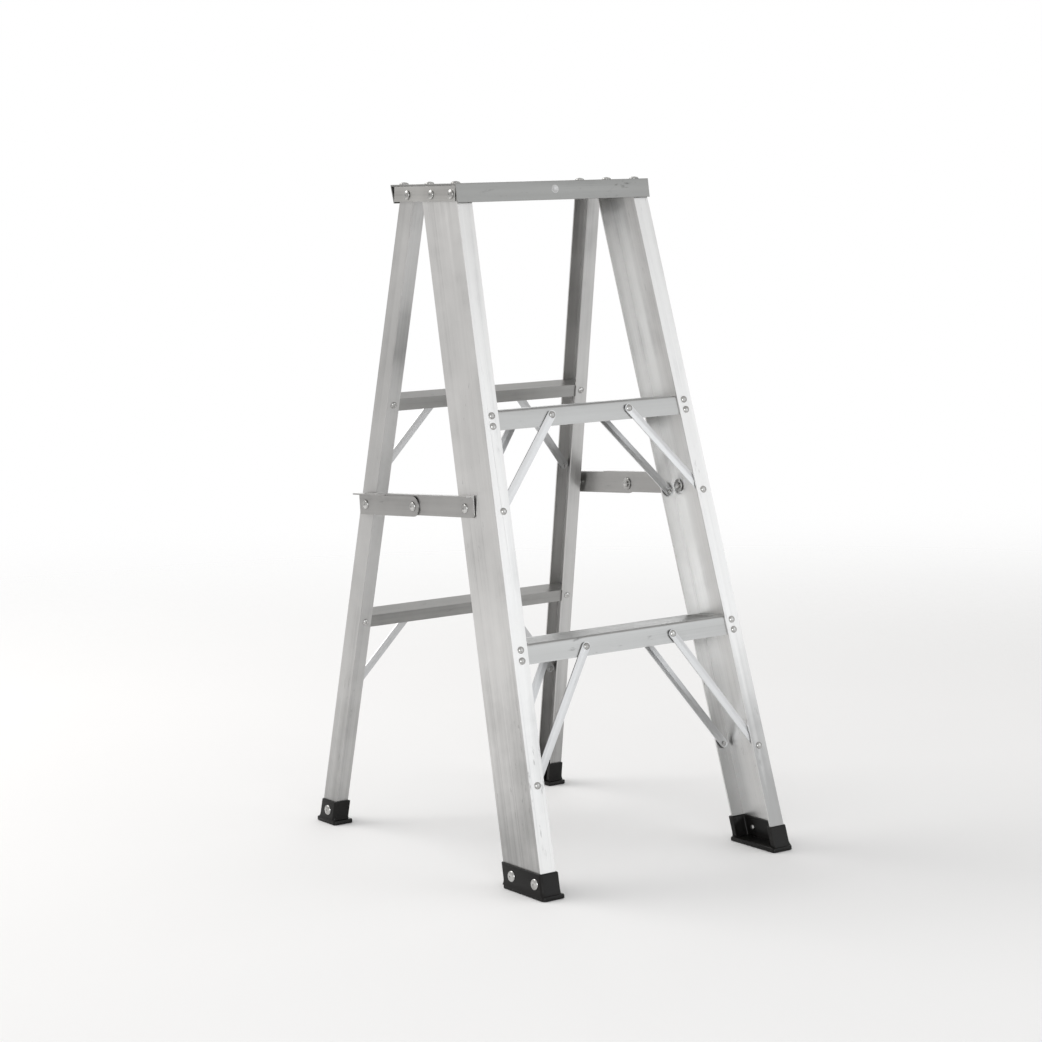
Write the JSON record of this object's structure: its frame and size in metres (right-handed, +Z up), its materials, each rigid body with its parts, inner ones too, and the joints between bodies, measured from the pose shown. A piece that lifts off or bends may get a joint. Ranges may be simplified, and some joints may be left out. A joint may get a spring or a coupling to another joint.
{
  "type": "folding step ladder",
  "caption": "Free-standing folding step ladder in riveted aluminium: wide climbing rails with treads, narrow rear rails, channel cap, folding spreaders and black moulded feet.",
  "frame": {"origin": "on the ground, at the centre of the open ladder's footprint", "axes": "+Z up, +X to the right seen from the climbing side, -Y towards the person climbing, +Y towards the rear frame"},
  "size_m": [0.4126, 0.5702, 0.9027],
  "materials": {
    "mill_aluminium": "mill finish extrusion with fine lengthwise die lines",
    "strip_aluminium": "bright flat strip, lightly brushed",
    "rivet_metal": "bright domed rivets and washers",
    "black_plastic": "black moulded plastic, satin"
  },
  "bodies": {
    "front_frame": {"top_cap": "mill_aluminium", "left_end_bracket": "mill_aluminium", "right_end_bracket": "mill_aluminium", "front_left_rail": "mill_aluminium", "front_right_rail": "mill_aluminium", "front_upper_tread": "mill_aluminium", "front_lower_tread": "mill_aluminium", "upper_left_front_brace": "strip_aluminium", "upper_right_front_brace": "strip_aluminium", "lower_left_front_brace": "strip_aluminium", "lower_right_front_brace": "strip_aluminium", "upper_left_back_brace": "strip_aluminium", "upper_right_back_brace": "strip_aluminium", "lower_left_back_brace": "strip_aluminium", "lower_right_back_brace": "strip_aluminium", "front_left_foot": "black_plastic", "front_left_foot_rivet_1": "rivet_metal", "front_left_foot_rivet_2": "rivet_metal", "left_cap_rivet_1": "rivet_metal", "left_cap_rivet_2": "rivet_metal", "left_hinge_rivet": "rivet_metal", "left_hinge_washer": "rivet_metal", "left_spreader_front_rivet": "rivet_metal", "left_spreader_front_washer": "rivet_metal", "front_right_foot": "black_plastic", "front_right_foot_rivet_1": "rivet_metal", "front_right_foot_rivet_2": "rivet_metal", "right_cap_rivet_1": "rivet_metal", "right_cap_rivet_2": "rivet_metal", "right_hinge_rivet": "rivet_metal", "right_hinge_washer": "rivet_metal", "right_spreader_front_rivet": "rivet_metal", "right_spreader_front_washer": "rivet_metal"},
    "rear_frame": {"rear_left_rail": "mill_aluminium", "rear_right_rail": "mill_aluminium", "rear_upper_tread": "mill_aluminium", "rear_lower_tread": "mill_aluminium", "upper_left_rear_brace": "strip_aluminium", "upper_right_rear_brace": "strip_aluminium", "lower_left_rear_brace": "strip_aluminium", "lower_right_rear_brace": "strip_aluminium", "rear_left_foot": "black_plastic", "rear_left_foot_rivet_1": "rivet_metal", "left_spreader_rear_spacer": "rivet_metal", "left_spreader_rear_stud": "rivet_metal", "rear_right_foot": "black_plastic", "rear_right_foot_rivet_1": "rivet_metal", "right_spreader_rear_spacer": "rivet_metal", "right_spreader_rear_stud": "rivet_metal"},
    "left_front_link": {"left_spreader_front_link": "mill_aluminium", "left_spreader_middle_rivet": "rivet_metal", "left_spreader_middle_washer": "rivet_metal"},
    "left_rear_link": {"left_spreader_rear_link": "mill_aluminium", "left_spreader_rear_rivet": "rivet_metal"},
    "right_front_link": {"right_spreader_front_link": "mill_aluminium", "right_spreader_middle_rivet": "rivet_metal", "right_spreader_middle_washer": "rivet_metal"},
    "right_rear_link": {"right_spreader_rear_link": "mill_aluminium", "right_spreader_rear_rivet": "rivet_metal"}
  },
  "joints": [
    {"name": "rear_fold", "type": "hinge", "parent": "front_frame", "child": "rear_frame", "pos_m": [0, 0.062, 0.886], "axis": [-1, 0, 0], "range_deg": [0, 26.5]},
    {"name": "left_front_link_pivot", "type": "hinge", "parent": "front_frame", "child": "left_front_link", "pos_m": [-0.1784, -0.0908, 0.4805], "axis": [1, 0, 0], "range_deg": [0, 64.2]},
    {"name": "left_middle_pivot", "type": "hinge", "parent": "left_front_link", "child": "left_rear_link", "pos_m": [-0.1806, 0.03312, 0.47266], "axis": [-1, 0, 0], "range_deg": [0, 157.1]},
    {"name": "right_front_link_pivot", "type": "hinge", "parent": "front_frame", "child": "right_front_link", "pos_m": [0.1784, -0.0908, 0.4805], "axis": [1, 0, 0], "range_deg": [0, 64.2]},
    {"name": "right_middle_pivot", "type": "hinge", "parent": "right_front_link", "child": "right_rear_link", "pos_m": [0.1806, 0.03312, 0.47266], "axis": [-1, 0, 0], "range_deg": [0, 157.1]}
  ],
  "couplings": [
    {"joint": "left_front_link_pivot", "follows": "rear_fold", "ratio": 2.42},
    {"joint": "left_middle_pivot", "follows": "rear_fold", "ratio": 5.9254},
    {"joint": "right_front_link_pivot", "follows": "rear_fold", "ratio": 2.42},
    {"joint": "right_middle_pivot", "follows": "rear_fold", "ratio": 5.9254}
  ]
}
